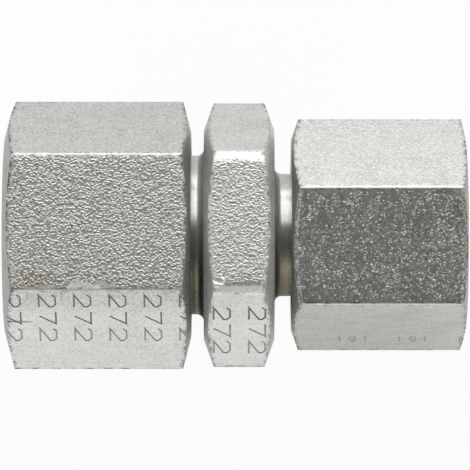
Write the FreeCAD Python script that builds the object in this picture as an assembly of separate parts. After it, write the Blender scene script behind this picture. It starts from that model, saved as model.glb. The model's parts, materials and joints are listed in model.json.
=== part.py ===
import FreeCAD, Part
import math
import os
from collections import namedtuple

# Straight connector that joins two pipe threads of different size, made of zinc-plated steel.
# A hexagon in the middle is one piece with a smooth spigot on each side. A nut with an
# inside thread turns freely on each spigot. A round wire, half in the spigot and half in
# the nut, holds the nut on, and its bent end sits in a blind hole in the spigot. Each
# spigot ends in a nose cone that seals inside the part that is screwed in.
# The fitting lies on a flat of its hexagon, with its axis along X, the large nut at -X
# and the small nut at +X. The origin is on the axis, half way along the fitting.
# Lengths are in millimetres and angles in degrees.

# Threads: each is given by its tapping size, with the steel left round it in the nut.
# A 3/8 pipe thread with 3.375 of steel makes a nut 22 across its flats, and a 1/4 pipe
# thread with 3.6 of steel makes one 19 across. Both threads have 19 turns to the inch.
LARGE_THREAD_DIA = 15.25
SMALL_THREAD_DIA = 11.8
LARGE_NUT_WALL = 3.375
SMALL_NUT_WALL = 3.6
LARGE_THREAD_LENGTH = 7.9
SMALL_THREAD_LENGTH = 7.6
THREAD_RELIEF_DEPTH = 0.87
MOUTH_CHAMFER = 0.95

# Swivel nuts: their length, the gap that shows beside the body, and how far each is turned.
# The small nut lies where it happened to turn to.
LARGE_NUT_LENGTH = 17.45
SMALL_NUT_LENGTH = 16.35
LARGE_NUT_GAP = 1.2
SMALL_NUT_GAP = 1.6
LARGE_TURN = 0.0
SMALL_TURN = 12.4
NUT_CORNER_ROUNDING = 0.3

# Ends of the nuts: a cone trims the corners at the mouth and another at the rear face
LARGE_MOUTH_CONE_ANGLE = 15.0
SMALL_MOUTH_CONE_ANGLE = 13.0
LARGE_MOUTH_FACE_INSET = 1.65
SMALL_MOUTH_FACE_INSET = 0.4
LARGE_REAR_CONE_ANGLE = 14.0
SMALL_REAR_CONE_ANGLE = 19.0
LARGE_REAR_FACE_INSET = 1.4
SMALL_REAR_FACE_INSET = 0.5
REAR_HOLE_CHAMFER = 0.5

# Body: cut from the same bar as the large nut, with its corners turned down to a round
BODY_HEX_WIDTH = 6.6
BODY_CORNER_CUT = 0.26
BODY_FACE_INSET = 1.15
BODY_CONE_ANGLE = 19.5
NECK_FILLET = 0.7

# Nose cones and the passage through the body
NOSE_HALF_ANGLE = 30.0
NOSE_TIP_WALL = 0.7
NOSE_EDGE_BREAK = 0.2
LARGE_BORE_DIA = 9.0
SMALL_BORE_DIA = 6.5
BORE_STEP_HALF_ANGLE = 59.0

# Retaining wires: a ring with a gap, and one end bent in towards the axis
LARGE_WIRE_DIA = 1.6
SMALL_WIRE_DIA = 1.3
LARGE_WIRE_SETBACK = 2.3
SMALL_WIRE_SETBACK = 2.2
WIRE_RING_ARC = 318.0
WIRE_TAIL_LENGTH = 0.6
WIRE_START_ANGLE = 35.0

# Clearances: the spigot passes through the thread, and the nut turns on the spigot
SPIGOT_TO_THREAD = 0.15
SWIVEL_CLEARANCE = 0.25
WIRE_SEAT_CLEARANCE = 0.1
NUT_GROOVE_CLEARANCE = 0.25
WIRE_HOLE_CLEARANCE = 0.15
NOSE_TO_THREAD = 0.3

# A hexagon has a flat on top. Angles round the axis are counted from +Z towards +Y, and
# the hole for the wire opens in the flat that faces this way before the nut is turned.
FLATS = 6
WIRE_HOLE_FLAT = 120.0

# Sizes that follow from those above
LARGE_ACROSS_FLATS = LARGE_THREAD_DIA + 2 * LARGE_NUT_WALL
SMALL_ACROSS_FLATS = SMALL_THREAD_DIA + 2 * SMALL_NUT_WALL
BODY_ACROSS_FLATS = LARGE_ACROSS_FLATS
FULL_LENGTH = LARGE_NUT_LENGTH + LARGE_NUT_GAP + BODY_HEX_WIDTH + SMALL_NUT_GAP + SMALL_NUT_LENGTH
LARGE_HEX_FACE = LARGE_NUT_LENGTH + LARGE_NUT_GAP - FULL_LENGTH / 2
SMALL_HEX_FACE = LARGE_HEX_FACE + BODY_HEX_WIDTH
HEX_CENTRE = (LARGE_HEX_FACE + SMALL_HEX_FACE) / 2

# One end of the connector: side is the way out along X, from the hexagon's face at hex_face
END_FIELDS = """side hex_face across_flats mouth_cone_angle mouth_face_inset rear_cone_angle
rear_face_inset nut_length nut_gap turn thread_dia thread_length spigot_dia nose_tip_dia
wire_dia wire_setback"""
End = namedtuple("End", END_FIELDS)

LARGE_END = End(
    side=-1,
    hex_face=LARGE_HEX_FACE,
    across_flats=LARGE_ACROSS_FLATS,
    mouth_cone_angle=LARGE_MOUTH_CONE_ANGLE,
    mouth_face_inset=LARGE_MOUTH_FACE_INSET,
    rear_cone_angle=LARGE_REAR_CONE_ANGLE,
    rear_face_inset=LARGE_REAR_FACE_INSET,
    nut_length=LARGE_NUT_LENGTH,
    nut_gap=LARGE_NUT_GAP,
    turn=LARGE_TURN,
    thread_dia=LARGE_THREAD_DIA,
    thread_length=LARGE_THREAD_LENGTH,
    spigot_dia=LARGE_THREAD_DIA - 2 * SPIGOT_TO_THREAD,
    nose_tip_dia=LARGE_BORE_DIA + 2 * NOSE_TIP_WALL,
    wire_dia=LARGE_WIRE_DIA,
    wire_setback=LARGE_WIRE_SETBACK,
)
SMALL_END = End(
    side=1,
    hex_face=SMALL_HEX_FACE,
    across_flats=SMALL_ACROSS_FLATS,
    mouth_cone_angle=SMALL_MOUTH_CONE_ANGLE,
    mouth_face_inset=SMALL_MOUTH_FACE_INSET,
    rear_cone_angle=SMALL_REAR_CONE_ANGLE,
    rear_face_inset=SMALL_REAR_FACE_INSET,
    nut_length=SMALL_NUT_LENGTH,
    nut_gap=SMALL_NUT_GAP,
    turn=SMALL_TURN,
    thread_dia=SMALL_THREAD_DIA,
    thread_length=SMALL_THREAD_LENGTH,
    spigot_dia=SMALL_THREAD_DIA - 2 * SPIGOT_TO_THREAD,
    nose_tip_dia=SMALL_BORE_DIA + 2 * NOSE_TIP_WALL,
    wire_dia=SMALL_WIRE_DIA,
    wire_setback=SMALL_WIRE_SETBACK,
)

X_AXIS = FreeCAD.Vector(1, 0, 0)
ORIGIN = FreeCAD.Vector(0, 0, 0)


def tangent(angle):
    return math.tan(math.radians(angle))


def around(radius, angle, x=0.0):
    """Point at a radius from the axis, at an angle counted from +Z towards +Y."""
    turn = math.radians(angle)
    return FreeCAD.Vector(x, radius * math.sin(turn), radius * math.cos(turn))


def closed_outline(corners):
    """Closed wire through (point, rounding) corners, with an arc where rounding isn't 0."""
    stretches = []
    for index, (point, rounding) in enumerate(corners):
        if not rounding:
            stretches.append((point, point, None))
            continue
        back = (corners[index - 1][0] - point).normalize()
        ahead = (corners[(index + 1) % len(corners)][0] - point).normalize()
        half = back.getAngle(ahead) / 2
        setback = rounding / math.tan(half)
        middle = (back + ahead).normalize() * (rounding / math.sin(half) - rounding)
        stretches.append((point + back * setback, point + ahead * setback, point + middle))
    edges = []
    for index, (start, finish, middle) in enumerate(stretches):
        if middle is not None:
            edges.append(Part.Arc(start, middle, finish).toShape())
        following = stretches[(index + 1) % len(stretches)][0]
        edges.append(Part.makeLine(finish, following))
    return Part.Wire(edges)


def turned(corners):
    """Solid of revolution about X from (x, radius) or (x, radius, rounding) corners."""
    points = []
    for corner in corners:
        rounding = corner[2] if len(corner) > 2 else 0.0
        points.append((FreeCAD.Vector(corner[0], 0, corner[1]), rounding))
    return Part.Face(closed_outline(points)).revolve(ORIGIN, X_AXIS, 360)


def hexagon_bar(across_flats, start, length, rounding=0.0):
    """Hexagon bar along X with a flat on top, its corners rounded as drawn bar is."""
    corner_radius = across_flats / 2 / math.cos(math.pi / FLATS)
    step = 360 / FLATS
    corners = [(around(corner_radius, step * (k + 0.5), start), rounding) for k in range(FLATS)]
    return Part.Face(closed_outline(corners)).extrude(X_AXIS * length)


def coned_blank(sides, rim_dia):
    """Round blank that trims a hexagon's corners: a rim with a flat cone on each side. The
    sides are (x, face diameter, cone angle), first the one at -X and then the one at +X."""
    (start, start_dia, start_angle), (finish, finish_dia, finish_angle) = sides
    return turned([
        (start, 0),
        (start, start_dia / 2),
        (start + (rim_dia - start_dia) / 2 * tangent(start_angle), rim_dia / 2),
        (finish - (rim_dia - finish_dia) / 2 * tangent(finish_angle), rim_dia / 2),
        (finish, finish_dia / 2),
        (finish, 0),
    ])


def out_from(end, distance):
    """X of a point at a distance from the hexagon's side face, out along the spigot."""
    return end.hex_face + end.side * distance


def nose_length(end):
    return (end.spigot_dia - end.nose_tip_dia) / 2 / tangent(NOSE_HALF_ANGLE)


def thread_start(end):
    """Distance from the hexagon to the inner end of the threaded wall."""
    return end.nut_gap + end.nut_length - MOUTH_CHAMFER - end.thread_length


def nose_base(end):
    """Distance from the hexagon to where the nose cone starts and the nut's thread relief too."""
    return thread_start(end) - NOSE_TO_THREAD - nose_length(end)


def wire_circle(end):
    """Radius of the ring that the wire's middle follows, in the gap between spigot and nut."""
    return end.spigot_dia / 2 + SWIVEL_CLEARANCE / 2


def wire_x(end):
    return out_from(end, end.nut_gap + end.wire_setback)


def wire_tail(end):
    """Where the wire's ring ends, where its tail starts, and the way inwards along the tail."""
    finish = WIRE_START_ANGLE + WIRE_RING_ARC
    bend = end.wire_dia / 2 + 2 * WIRE_SEAT_CLEARANCE
    ring_end = around(wire_circle(end), finish, wire_x(end))
    inwards = around(-1, finish)
    tail_start = ring_end + inwards * bend + around(bend, finish + 90)
    return ring_end, tail_start, inwards


def retaining_wire(end):
    """Round wire bent to a ring with a gap, with an elbow and a short tail inwards."""
    ring_end, tail_start, inwards = wire_tail(end)
    ring_start = around(wire_circle(end), WIRE_START_ANGLE, wire_x(end))
    ring_middle = around(wire_circle(end), WIRE_START_ANGLE + WIRE_RING_ARC / 2, wire_x(end))
    corner = tail_start - inwards * (tail_start - ring_end).dot(inwards)
    bend_centre = ring_end + tail_start - corner
    bend = bend_centre.distanceToPoint(ring_end)
    bend_middle = bend_centre + (corner - bend_centre).normalize() * bend
    path = Part.Wire([
        Part.Arc(ring_start, ring_middle, ring_end).toShape(),
        Part.Arc(ring_end, bend_middle, tail_start).toShape(),
        Part.makeLine(tail_start, tail_start + inwards * WIRE_TAIL_LENGTH),
    ])
    start_way = around(1, WIRE_START_ANGLE + 90)
    section = Part.Wire([Part.makeCircle(end.wire_dia / 2, ring_start, start_way)])
    return path.makePipeShell([section], True, False)


def wire_seat(end):
    """What is cut from the spigot: a half-round groove and a blind hole for the wire's tail."""
    radius = end.wire_dia / 2 + WIRE_SEAT_CLEARANCE
    groove = Part.makeTorus(wire_circle(end), radius, X_AXIS * wire_x(end), X_AXIS)
    tail_start, inwards = wire_tail(end)[1:]
    bottom = tail_start + inwards * (WIRE_TAIL_LENGTH + WIRE_SEAT_CLEARANCE)
    hole = Part.makeCylinder(radius, end.spigot_dia / 2, bottom, inwards * -1)
    return groove, hole


def spigot(end):
    """Spigot from the middle of the hexagon to the tip of its nose cone, with the neck fillet."""
    radius = end.spigot_dia / 2
    root = radius + 2 * NECK_FILLET
    tip = nose_base(end) + nose_length(end)
    return turned([
        (HEX_CENTRE, 0),
        (HEX_CENTRE, root),
        (out_from(end, 0), root),
        (out_from(end, 0), radius, NECK_FILLET),
        (out_from(end, nose_base(end)), radius, NOSE_EDGE_BREAK),
        (out_from(end, tip), end.nose_tip_dia / 2, NOSE_EDGE_BREAK),
        (out_from(end, tip), 0),
    ])


def passage():
    """Hole right through: wide from the large end, then a drill's cone down to the small bore."""
    large_tip = out_from(LARGE_END, nose_base(LARGE_END) + nose_length(LARGE_END))
    small_tip = out_from(SMALL_END, nose_base(SMALL_END) + nose_length(SMALL_END))
    step = (LARGE_BORE_DIA - SMALL_BORE_DIA) / 2 / tangent(BORE_STEP_HALF_ANGLE)
    large_break = LARGE_BORE_DIA / 2 + NOSE_EDGE_BREAK
    small_break = SMALL_BORE_DIA / 2 + NOSE_EDGE_BREAK
    return turned([
        (large_tip, 0),
        (large_tip, large_break),
        (large_tip + NOSE_EDGE_BREAK, LARGE_BORE_DIA / 2),
        (HEX_CENTRE, LARGE_BORE_DIA / 2),
        (HEX_CENTRE + step, SMALL_BORE_DIA / 2),
        (small_tip - NOSE_EDGE_BREAK, SMALL_BORE_DIA / 2),
        (small_tip, small_break),
        (small_tip, 0),
    ])


def adaptor_body():
    bar = hexagon_bar(BODY_ACROSS_FLATS, LARGE_HEX_FACE, BODY_HEX_WIDTH)
    face_dia = BODY_ACROSS_FLATS - 2 * BODY_FACE_INSET
    rim_dia = BODY_ACROSS_FLATS / math.cos(math.pi / FLATS) - 2 * BODY_CORNER_CUT
    sides = [(x, face_dia, BODY_CONE_ANGLE) for x in (LARGE_HEX_FACE, SMALL_HEX_FACE)]
    body = bar.common(coned_blank(sides, rim_dia))
    for end in (LARGE_END, SMALL_END):
        body = body.fuse(spigot(end))
    body = body.cut(passage())
    for end in (LARGE_END, SMALL_END):
        for hollow in wire_seat(end):
            body = body.cut(hollow)
    return body.removeSplitter().Solids[0]


def rear_hole(end):
    """Radius of the hole at the nut's rear, which the spigot turns in."""
    return end.spigot_dia / 2 + SWIVEL_CLEARANCE


def nut_bore(end):
    """Everything that is bored from the nut: rear hole, thread relief, threaded wall, mouth."""
    rear_radius = rear_hole(end)
    thread_radius = end.thread_dia / 2
    relief_radius = thread_radius + THREAD_RELIEF_DEPTH
    mouth = end.nut_gap + end.nut_length
    shoulder = relief_radius - rear_radius
    return turned([
        (out_from(end, end.nut_gap), 0),
        (out_from(end, end.nut_gap), rear_radius + REAR_HOLE_CHAMFER),
        (out_from(end, end.nut_gap + REAR_HOLE_CHAMFER), rear_radius),
        (out_from(end, nose_base(end) - shoulder), rear_radius),
        (out_from(end, nose_base(end)), relief_radius),
        (out_from(end, thread_start(end) - THREAD_RELIEF_DEPTH), relief_radius),
        (out_from(end, thread_start(end)), thread_radius),
        (out_from(end, mouth - MOUTH_CHAMFER), thread_radius),
        (out_from(end, mouth), thread_radius + MOUTH_CHAMFER),
        (out_from(end, mouth), 0),
    ])


def wire_hole(end):
    """Hole that the wire is pushed in through: it meets the groove along a tangent."""
    radius = end.wire_dia / 2 + WIRE_HOLE_CLEARANCE
    touch = WIRE_HOLE_FLAT - 360 / FLATS
    start = around(wire_circle(end), touch, wire_x(end))
    way = around(1, touch + 90)
    return Part.makeCylinder(radius, end.across_flats, start, way)


def swivel_nut(end):
    rear = out_from(end, end.nut_gap)
    mouth = out_from(end, end.nut_gap + end.nut_length)
    bar = hexagon_bar(end.across_flats, min(rear, mouth), end.nut_length, NUT_CORNER_ROUNDING)
    rear_dia = end.across_flats - 2 * end.rear_face_inset
    mouth_dia = end.across_flats - 2 * end.mouth_face_inset
    sides = sorted([(rear, rear_dia, end.rear_cone_angle), (mouth, mouth_dia, end.mouth_cone_angle)])
    corner_dia = end.across_flats / math.cos(math.pi / FLATS)
    nut = bar.common(coned_blank(sides, corner_dia))
    nut = nut.cut(nut_bore(end))
    groove_radius = end.wire_dia / 2 + NUT_GROOVE_CLEARANCE
    nut = nut.cut(Part.makeTorus(wire_circle(end), groove_radius, X_AXIS * wire_x(end), X_AXIS))
    nut = nut.cut(wire_hole(end))
    nut = nut.removeSplitter().Solids[0]
    nut.rotate(ORIGIN, X_AXIS, end.turn)
    return nut


PIECES = {
    "adaptor_body": adaptor_body(),
    "large_swivel_nut": swivel_nut(LARGE_END),
    "small_swivel_nut": swivel_nut(SMALL_END),
    "large_retaining_wire": retaining_wire(LARGE_END),
    "small_retaining_wire": retaining_wire(SMALL_END),
}

os.makedirs("parts", exist_ok=True)
for name, shape in PIECES.items():
    shape.exportStep("parts/" + name + ".step")
    print(name, "valid:", shape.isValid(), "volume:", round(shape.Volume, 2))
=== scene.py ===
import json
import math
from collections import namedtuple
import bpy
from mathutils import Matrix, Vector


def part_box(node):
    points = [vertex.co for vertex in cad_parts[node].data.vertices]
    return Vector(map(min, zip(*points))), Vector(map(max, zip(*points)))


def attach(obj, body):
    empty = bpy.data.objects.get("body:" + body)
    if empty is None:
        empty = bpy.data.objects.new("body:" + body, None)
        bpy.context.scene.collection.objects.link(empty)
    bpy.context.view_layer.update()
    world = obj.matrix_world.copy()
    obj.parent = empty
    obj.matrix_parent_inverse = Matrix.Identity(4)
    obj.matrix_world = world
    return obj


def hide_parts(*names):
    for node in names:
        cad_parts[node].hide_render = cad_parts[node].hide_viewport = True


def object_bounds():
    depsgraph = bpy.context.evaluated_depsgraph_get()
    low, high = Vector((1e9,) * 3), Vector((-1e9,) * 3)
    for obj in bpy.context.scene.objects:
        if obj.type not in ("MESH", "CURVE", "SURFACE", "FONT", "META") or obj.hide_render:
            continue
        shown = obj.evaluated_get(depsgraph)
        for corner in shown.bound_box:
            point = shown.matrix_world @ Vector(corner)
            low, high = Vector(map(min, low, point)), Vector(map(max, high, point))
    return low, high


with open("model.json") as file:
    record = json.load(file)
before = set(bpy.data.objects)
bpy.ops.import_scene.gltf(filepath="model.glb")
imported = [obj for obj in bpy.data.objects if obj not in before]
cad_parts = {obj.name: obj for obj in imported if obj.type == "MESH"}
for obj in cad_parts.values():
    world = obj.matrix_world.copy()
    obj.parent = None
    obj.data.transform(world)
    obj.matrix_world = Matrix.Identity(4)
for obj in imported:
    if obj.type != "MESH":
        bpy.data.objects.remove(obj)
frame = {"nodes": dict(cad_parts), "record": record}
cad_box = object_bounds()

from types import SimpleNamespace

import bmesh
import bpy
import numpy as np
from bpy.props import FloatProperty, FloatVectorProperty, IntProperty, PointerProperty, StringProperty
from mathutils import Matrix, Vector

bl_info = {
    "name": "Straight threaded connector",
    "version": (1, 0, 0),
    "blender": (4, 5, 0),
    "location": "View3D > Sidebar > Connector",
    "description": "Dresses a reducing pipe connector with two swivel nuts in grained zinc-plated steel",
    "category": "Object",
}

MM = 0.001
FLATS = 6
SIXTH = 2 * math.pi / FLATS
PITCH = 25.4 * MM / 19
MOUNTS = {mount["name"]: mount for mount in frame["record"]["mounts"]}
BODY_NODE = "adaptor_body"
BODY_RIDES_ON = "connector_body"

# How finely the skins are divided: steps along a flat, round a corner of the bar, round a corner
# turned down to a rim, to a turn of the thread, round a wire groove and round a neck's rounding,
# and sides of a drilled hole
FLAT_STEPS = 24
CORNER_STEPS = 4
RIM_STEPS = 3
THREAD_STEPS = 14
GROOVE_STEPS = 12
FILLET_STEPS = 6
HOLE_SIDES = 40
# Where along a softened edge its rings stand
SOFT_PLACES = (0.0, 0.25, 0.5, 0.75, 1.0)

# 0 would give the thread a sine's shape, 1 straight flanks with sharp crests
THREAD_SHARPNESS = 0.5
# Edges that bend by more than this stay sharp
CREASE = math.radians(32)
# How far large faces outweigh small ones in the shading of a shared corner; 50 is even
FACE_WEIGHT = 80

# Where parts of the finish fade in, as (none, full): by the cosine of the angle from the top or
# bottom, and in millimetres from the body's middle, from the axis, across the bar and upwards
MAIN_FLATS = (0.84, 0.90)
OUT_OF_THE_GAPS = (5.2, 6.2)
OFF_THE_NECK = (7.7, 8.4)
OFF_THE_NEAR_FLATS = (-9.0, -6.0)
UPPER_SIDE = (0.0, 1.0)
# Share of the room over which the front wall passes into the back one
WALL_BLEND = 0.35


def number(name, description, value, **others):
    return FloatProperty(name=name, description=description, default=value, **others)


def length(name, description, millimetres):
    return number(name, description, millimetres * MM, unit="LENGTH", precision=5)


def angle(name, description, degrees):
    return number(name, description, math.radians(degrees), unit="ROTATION")


def share(name, description, value):
    return number(name, description, value, min=0.0, max=1.0, subtype="FACTOR")


def whole(name, description, value):
    return IntProperty(name=name, description=description, default=value)


def tint(name, description, rgb):
    return FloatVectorProperty(
        name=name, description=description, default=(*rgb, 1.0), size=4, min=0.0, max=1.0,
        subtype="COLOR",
    )


def words(name, description, value):
    return StringProperty(name=name, description=description, default=value)


def group(name, rows, column):
    """Property group from rows of (maker, field, description, value in each column)."""
    fields = {}
    for make, field, description, *values in rows:
        fields[field] = make(field.replace("_", " ").capitalize(), description, values[column])
    return type(name, (bpy.types.PropertyGroup,), {"__annotations__": fields})


# Sizes of the large and the small end
END_ROWS = (
    (length, "across_flats", "Spanner size of the nut", 22.0, 19.0),
    (length, "corner_rounding", "Rounding of the drawn bar's corners", 0.3, 0.3),
    (length, "thread_major", "Outside diameter of the pipe thread", 16.662, 13.157),
    (length, "spigot", "Diameter of the spigot that the nut turns on", 14.95, 11.5),
    (length, "nose_tip", "Diameter at the tip of the nose cone", 10.4, 7.9),
    (length, "bore", "Diameter of the passage at this end", 9.0, 6.5),
    (length, "wire", "Diameter of the retaining wire", 1.6, 1.3),
    (length, "wire_setback", "From the nut's inner face to the wire", 2.3, 2.2),
    (length, "mouth_inset", "How far the nut's mouth face lies inside its flats", 1.65, 0.4),
    (length, "rear_inset", "How far the nut's inner face lies inside its flats", 1.4, 0.5),
    (angle, "mouth_cone", "Slope of the turned cone at the nut's mouth", 15.0, 13.0),
    (angle, "rear_cone", "Slope of the turned cone at the nut's inner end", 14.0, 19.0),
    (angle, "turn", "How far the nut is turned round the axis", 0.0, 12.4),
)

# Digits stamped on the body, the large nut and the small nut
STAMP_ROWS = (
    (words, "text", "Digits stamped in a column", "272", "272", "191"),
    (whole, "count", "Number of columns of digits", 2, 6, 3),
    (angle, "turn", "How far the digits are turned on their flat", 0.0, 0.0, 90.0),
    (length, "start", "Place of the first column of digits along the bar", -1.25, -20.62, 10.95),
    (length, "pitch", "From one column of digits to the next", 3.27, 3.25, 5.65),
    (length, "aside", "From the middle of the flat to the middle of the column", 0.0, -2.0, 2.7),
    (length, "height", "Height of a digit", 1.52, 1.52, 1.1),
    (length, "breadth", "Breadth of a digit", 1.88, 1.88, 0.6),
    (length, "step", "From one digit of a column to the next", 2.68, 2.68, 1.2),
    (length, "stroke", "Breadth of a digit's strokes", 0.17, 0.16, 0.11),
    (length, "depth", "Depth of a digit's strokes", 0.06, 0.06, 0.03),
)

# Finish of the body, the large nut and the small nut. The grain is a noise; its height rises
# from 0 to the full height between two of its levels.
WEAR_ROWS = (
    # Beyond the side flats nearer the camera this dulling is painted shade as well
    (share, "dulling", "How dull the plating has become", 0.09, 0.31, 0.03),
    # Painted light: how much lighter and cleaner the side flat nearer the camera is painted
    (share, "freshness", "How clean the side flat nearer the camera is", 1.0, 1.0, 0.25),
    (share, "warmth", "How warm the side flat nearer the camera is", 0.0, 0.0, 0.22),
    (share, "turned_dulling", "How dull the turned surfaces are", 0.10, 0.85, 0.95),
    # This dirt also paints the shade in the hollows of the grain
    (share, "dirt", "How much oily dirt lies between the bumps of the grain", 0.28, 0.50, 0.35),
    (share, "stain", "How strong the brown stains are", 0.3, 1.0, 0.5),
    (share, "nicks", "How strong the nicks along the turned edges are", 0.6, 1.0, 0.7),
    (share, "streaks", "How strong the rubbed streaks along the bar are", 0.1, 0.15, 0.5),
    (share, "grain_roughness", "Roughness of the grained flats", 0.32, 0.32, 0.25),
    (share, "grain_stretch", "Breadth of a bump over its length along the bar", 0.95, 0.95, 0.72),
    (share, "domes", "How far the bumps are round domes that stand apart", 0.3, 0.5, 0.4),
    (share, "grain_low", "Level of the noise at the foot of the bumps", 0.28, 0.28, 0.36),
    (share, "grain_high", "Level of the noise at the top of the bumps", 0.72, 0.72, 0.80),
    (share, "grain_calm", "How shallow the grain is on the four side flats", 0.45, 0.5, 0.6),
    (share, "furrows", "How strong the furrows in the largest mark are", 0.55, 0.0, 0.0),
    (length, "grain_height", "Height of the bumps", 0.036, 0.028, 0.034),
    (length, "mark_x", "Place of the largest mark along the bar", -1.9, -14.1, 0.0),
    (length, "mark_y", "Place of the largest mark across the bar", -5.6, -6.3, 0.0),
    (length, "mark_length", "Half length of the largest mark", 0.95, 1.7, 0.01),
    (length, "mark_breadth", "Half breadth of the largest mark", 0.7, 0.85, 0.01),
    (length, "mark_depth", "Depth of the largest mark", 0.085, 0.03, 0.0),
    (length, "stain_x", "Place of the largest brown stain along the bar", 0.0, -18.3, 20.8),
    (length, "stain_y", "Place of the largest brown stain across the bar", -5.0, -5.3, 1.2),
    (length, "scratch_y", "Place of the scratch across the bar", 0.0, -8.83, 0.0),
    (length, "scratch_end", "Where along the bar the scratch ends", -90.0, -18.5, -90.0),
    (number, "grain_scale", "Bumps to the millimetre", 5.6, 6.2, 6.5),
)

BODY_ROWS = (
    (length, "across_flats", "Spanner size of the body", 22.0),
    (length, "corner_cut", "How far the corners are turned down", 0.26),
    (length, "face_inset", "How far the turned side face lies inside the flats", 1.15),
    (angle, "cone_angle", "Slope of the turned cones on the body's sides", 19.5),
    (length, "neck_fillet", "Rounding where the neck meets the hexagon", 0.7),
    (length, "hex_width", "Width of the body's hexagon", 6.6),
    (length, "large_gap", "From the hexagon to the large nut", 1.2),
    (angle, "nose_half_angle", "Slope of the nose cones to the axis", 30.0),
    (length, "nose_break", "Rounding of the nose cone's edges", 0.2),
    (angle, "bore_step_angle", "Half angle of the step between the two bores", 59.0),
    (angle, "wire_start", "Where the retaining wires begin round the axis", 35.0),
    (angle, "wire_arc", "How far the retaining wires go round", 318.0),
    (length, "wire_tail", "Straight end of the wire in the spigot", 0.6),
)

# Clearances, chamfers and rounded edges
FIT_ROWS = (
    (length, "swivel", "Radial play of the nut on the spigot", 0.25),
    (length, "groove", "Room round the wire in the nut", 0.25),
    (length, "seat", "Room round the wire in the spigot", 0.1),
    (length, "wire_hole", "Room round the wire in its hole", 0.15),
    (length, "nose_to_thread", "From the nose cone's tip to the thread", 0.3),
    (length, "thread_relief", "Depth of the relief behind the thread", 0.87),
    (length, "mouth_chamfer", "Depth of the countersink at the mouth", 0.95),
    (length, "rear_chamfer", "Chamfer of the hole at the nut's inner end", 0.5),
    (length, "soft_edge", "Rounding that plating and wear give an edge", 0.07),
    (length, "soft_rim", "Rounding of the turned edges", 0.04),
)

COLOUR_ROWS = (
    (tint, "zinc", "Bare colour of the zinc plating", (0.89, 0.90, 0.87)),
    # Painted light on the side flats nearer the camera, which reflect the bright bench; clean plating in
    # the torn mark
    (tint, "fresh_zinc", "Colour where the plating is still clean", (0.97, 0.98, 0.95)),
    (tint, "dull_zinc", "Colour where the plating has dulled", (0.60, 0.605, 0.58)),
    (tint, "dull_turned", "Dulled colour of the turned surfaces", (0.42, 0.425, 0.40)),
    (tint, "warm_stain", "Brown stain in the grain", (0.50, 0.37, 0.27)),
    # Painted shade as well as dirt in the hollows of the grain
    (tint, "olive_grime", "Oily dirt between the bumps of the grain", (0.20, 0.21, 0.155)),
    # The neck and film colours darken the gaps beside the body, partly as oily dirt and partly as painted
    # shade
    (tint, "neck_grime", "Oily dirt on the neck beside the large nut", (0.095, 0.10, 0.048)),
    (tint, "green_film", "Thin oily film on the faces beside the necks", (0.38, 0.46, 0.42)),
    (tint, "brown_grime", "Oily dirt on the neck beside the small nut", (0.28, 0.235, 0.155)),
    (tint, "stamp_dirt", "Colour in the stamped digits", (0.22, 0.22, 0.20)),
    (tint, "nick_dirt", "Colour in the nicks and along the turned edges", (0.16, 0.15, 0.13)),
    (tint, "wire_steel", "Colour of the spring wire", (0.45, 0.46, 0.47)),
    (share, "turned_roughness", "Roughness of the turned surfaces", 0.20),
    (share, "oil_film", "How far oil hides the metal's shine beside the body", 0.4),
)

# The photograph, the camera, the bench and the light
STUDIO_ROWS = (
    (whole, "photo_width", "Width of the photograph in pixels", 470),
    (number, "pixels_per_mm", "Scale of the photograph", 10.62),
    (length, "distance", "From the camera to the connector's axis", 490.0),
    (angle, "elevation", "Height of the camera above the bench", 83.6),
    (length, "aim", "Place along the axis that the camera looks at", -0.03),
    (length, "sensor", "Width of the camera's sensor", 36.0),
    (length, "floor_side", "Side of the white bench", 3000.0),
    (share, "floor_paint", "How pale the bench is", 0.97),
    (length, "softbox_length", "Size of the main light along the axis", 340.0),
    (length, "softbox_height", "Size of the main light upwards", 756.0),
    (length, "softbox_distance", "From the main light to the connector", 520.0),
    (angle, "softbox_elevation", "Height of the main light above the bench", 38.0),
    (number, "softbox_radiance", "Brightness of the main light", 1.6),
    (number, "front_radiance", "Brightness of the wall in front", 1.25),
    (number, "back_radiance", "Brightness of the wall behind", 0.55),
    (number, "dark_radiance", "Brightness of the patch overhead", 0.05),
    (angle, "dark_tilt", "From overhead to the middle of the dark patch", -18.5),
    (angle, "dark_inner", "Half angle of the dark patch's even part", 25.0),
    (angle, "dark_outer", "Half angle where the dark patch ends", 45.0),
    (share, "floor_white", "How far the camera sees the floor as plain white", 0.93),
)

# What the finish of a piece needs to know of its form: its hexagon, how far the flats stop
# short of the hexagon's corners, where the gaps beside the body lie, which get dirt and painted
# shade, and the turned cones, each as (x of the face, way inwards, radius of the face, slope).
# Lengths are in millimetres.
Form = namedtuple("Form", "across_flats turn edge_inset shelter_x cones")


class Field:
    """A number that varies over a surface: arithmetic on it adds Math nodes."""

    def __init__(self, graph, socket):
        self.graph = graph
        self.socket = socket

    def math(self, operation, *values):
        node = self.graph.node("ShaderNodeMath", {"operation": operation}, dict(enumerate(values)))
        return Field(self.graph, node.outputs[0])

    def __add__(self, other):
        return self.math("ADD", self, other)

    __radd__ = __add__

    def __sub__(self, other):
        return self.math("SUBTRACT", self, other)

    def __rsub__(self, other):
        return self.math("SUBTRACT", other, self)

    def __mul__(self, other):
        return self.math("MULTIPLY", self, other)

    __rmul__ = __mul__

    def __abs__(self):
        return self.math("ABSOLUTE", self)

    def root(self):
        return self.math("SQRT", self)

    def above(self, low, high):
        """0 below low, 1 above high, smooth between."""
        settings = {"interpolation_type": "SMOOTHSTEP"}
        node = self.graph.node("ShaderNodeMapRange", settings, {0: self, 1: low, 2: high})
        return Field(self.graph, node.outputs[0])


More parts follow.
